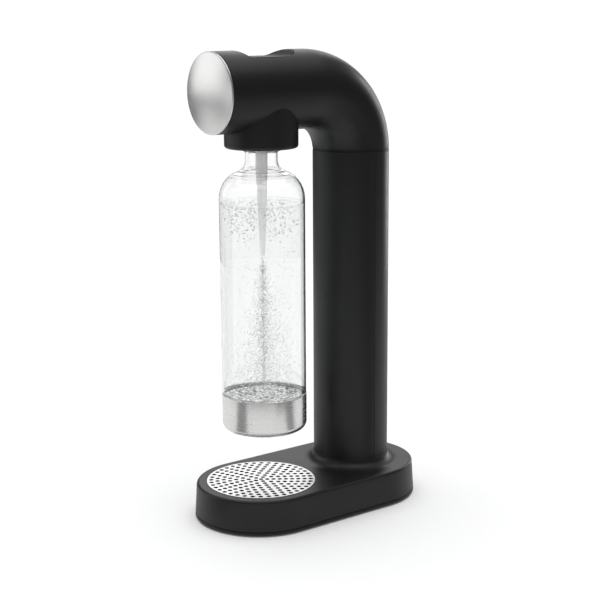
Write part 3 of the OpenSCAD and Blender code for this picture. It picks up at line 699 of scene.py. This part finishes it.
def foot_cup():
    low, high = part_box("bottle_base_cup")
    axis = (low + high) / 2
    outer = (high.x - low.x) / 2
    corner, sheet = 0.007, 0.0009
    bottom = low.z
    lip = sheet / 2
    outside = [(outer * 0.5 * k / 3, bottom) for k in range(3)]
    outside += bend((outer - corner, bottom + corner), corner, -90, 0, 12)
    edge = bend((outer - lip, high.z - lip), lip, 0, 180, 8)
    inside = bend((outer - corner, bottom + corner), corner - sheet, 0, -90, 10)
    inside += [(outer * 0.5 * k / 3, bottom + sheet) for k in (2, 1, 0)]
    piece = turned("steel_foot_cup", outside + edge + inside)
    set_down(piece, (axis.x, axis.y, 0))
    finish(piece, cup_steel, "bottle", "brushed_steel", "bottle_base_cup", angle=50)


foot_cup()


# ---- The drink: water up to the bottle's shoulder, a plume of gas bubbles under
# ---- the nozzle's tip, more bubbles below the surface, and froth on the bottom.
def drink():
    low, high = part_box("bottle")
    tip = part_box("nozzle_tube")[0].z
    axis = (low + high) / 2
    wall = 0.00145
    inside_r = (high.x - low.x) / 2 - wall
    surface = low.z + 0.2068
    floor_z = low.z + 0.0035

    water = clear_wall("carbonated water", (0.90, 0.905, 0.905), 1.03, roughness=0.0)
    outline = [(0.0, floor_z), (inside_r * 0.5, floor_z)]
    outline += bend((inside_r - 0.008, floor_z + 0.008), 0.008, -90, 0, 8)
    outline += [(inside_r, surface - 0.004), (inside_r, surface + 0.0008),
                (inside_r - 0.0005, surface + 0.0002), (inside_r - 0.0014, surface),
                (inside_r * 0.5, surface), (0.0, surface)]
    body_of_water = turned("water", outline, sides=128)
    set_down(body_of_water, (axis.x, axis.y, 0))
    finish(body_of_water, water, "bottle", "clear_plastic", angle=40)

    def bubbles_with_painted_shade(name, dark, light, size):
        # Painted shade: the gas bubbles are clear, but here they and the froth get opaque tones.
        # The pale tone is the white of froth, and the grey and near-black tones are painted shade
        # for the dark rims that clear bubbles show in water.
        material = bpy.data.materials.new(name)
        material.use_nodes = True
        tree = material.node_tree
        shader = tree.nodes["Principled BSDF"]
        place = add(tree, "ShaderNodeTexCoord").outputs["Object"]
        cells = add(tree, "ShaderNodeTexVoronoi", {"Vector": place, "Scale": size})
        cloud = add(tree, "ShaderNodeTexNoise", {"Vector": place, "Scale": size * 0.7,
                                                 "Detail": 4.0, "Roughness": 0.7})
        both = add(tree, "ShaderNodeMath", {0: cells.outputs["Distance"], 1: cloud.outputs[0]},
                   operation="MULTIPLY")
        level = add(tree, "ShaderNodeMapRange", {"Value": both.outputs[0], "From Min": 0.08,
                                                 "From Max": 0.42})
        tint = add(tree, "ShaderNodeMix", {"Factor": level.outputs[0], "A": (*light, 1),
                                           "B": (*dark, 1)}, data_type="RGBA")
        tree.links.new(tint.outputs["Result"], shader.inputs["Base Color"])
        bump = add(tree, "ShaderNodeBump", {"Height": both.outputs[0], "Strength": 0.8,
                                            "Distance": 0.0006})
        tree.links.new(bump.outputs[0], shader.inputs["Normal"])
        shader.inputs["Roughness"].default_value = 0.35
        return material

    settled = turned("froth_on_bottom", [(0.0, low.z + 0.0232), (0.012, low.z + 0.0236),
                                         (0.024, low.z + 0.0252), (0.032, low.z + 0.0275),
                                         (0.0350, low.z + 0.0290), (0.0356, low.z + 0.0292),
                                         (0.0357, low.z + 0.0270), (0.030, low.z + 0.0235),
                                         (0.0, low.z + 0.0205)], sides=96)
    set_down(settled, (axis.x, axis.y, 0))
    # Painted shade: the froth's near-black tone between its white spots.
    finish(settled, bubbles_with_painted_shade("froth with painted shade", (0.03, 0.03, 0.03), (0.85, 0.85, 0.85), 300.0),
           "bottle", "clear_plastic", angle=60)

    random.seed(11)
    begin()
    bpy.ops.mesh.primitive_ico_sphere_add(subdivisions=1, radius=1.0)
    pattern = bpy.context.object
    for face in pattern.data.polygons:
        face.use_smooth = True
    copies = []

    def bubble(x, y, z, r):
        one = bpy.data.objects.new("bubble", pattern.data.copy())
        scene.collection.objects.link(one)
        one.matrix_world = (Matrix.Translation((axis.x + x, axis.y + y, z))
                            @ Matrix.Diagonal((r, r, r * random.uniform(0.75, 1.0), 1)))
        copies.append(one)

    def around(radius):
        turn = random.uniform(0, 2 * math.pi)
        return radius * math.cos(turn), radius * math.sin(turn)

    plume_low = low.z + 0.042
    for _ in range(4600):
        down = random.random() ** 0.66
        z = tip - 0.001 - down * (tip - plume_low)
        spread = 0.0022 + 0.0300 * down ** 1.1
        r = min(spread * abs(random.gauss(0, 0.55)), inside_r * 0.94)
        bubble(*around(r), z, random.uniform(0.0002, 0.0005))
    for _ in range(900):
        z = random.uniform(low.z + 0.036, surface - 0.012)
        bubble(*around(inside_r * 0.95 * random.random() ** 0.6), z,
               random.uniform(0.0002, 0.00048))
    for _ in range(700):
        z = surface - 0.0012 - 0.030 * random.random() ** 1.8
        bubble(*around(inside_r * 0.94 * random.random() ** 0.45), z,
               random.uniform(0.00025, 0.0008))
    for _ in range(420):
        z = low.z + 0.0296 + 0.010 * random.random() ** 2
        bubble(*around(inside_r * 0.93 * random.random() ** 0.5), z,
               random.uniform(0.0003, 0.0008))
    batch = 80
    while len(copies) > 1:
        bunches = [copies[k:k + batch] for k in range(0, len(copies), batch)]
        for bunch in bunches:
            begin()
            for one in bunch:
                one.select_set(True)
            bpy.context.view_layer.objects.active = bunch[0]
            if len(bunch) > 1:
                bpy.ops.object.join()
        copies = [bunch[0] for bunch in bunches]
    cloud = copies[0]
    begin()
    cloud.select_set(True)
    bpy.context.view_layer.objects.active = cloud
    cloud.name = "gas_bubbles"
    bpy.data.objects.remove(pattern)
    bpy.ops.object.transform_apply(location=True, rotation=True, scale=True)
    # Painted shade: the bubbles' grey tone stands for the dark rims of clear bubbles in water.
    finish(cloud, bubbles_with_painted_shade("gas bubbles with painted shade", (0.45, 0.45, 0.45), (0.90, 0.90, 0.90), 300.0),
           "bottle", "clear_plastic", angle=80)


drink()
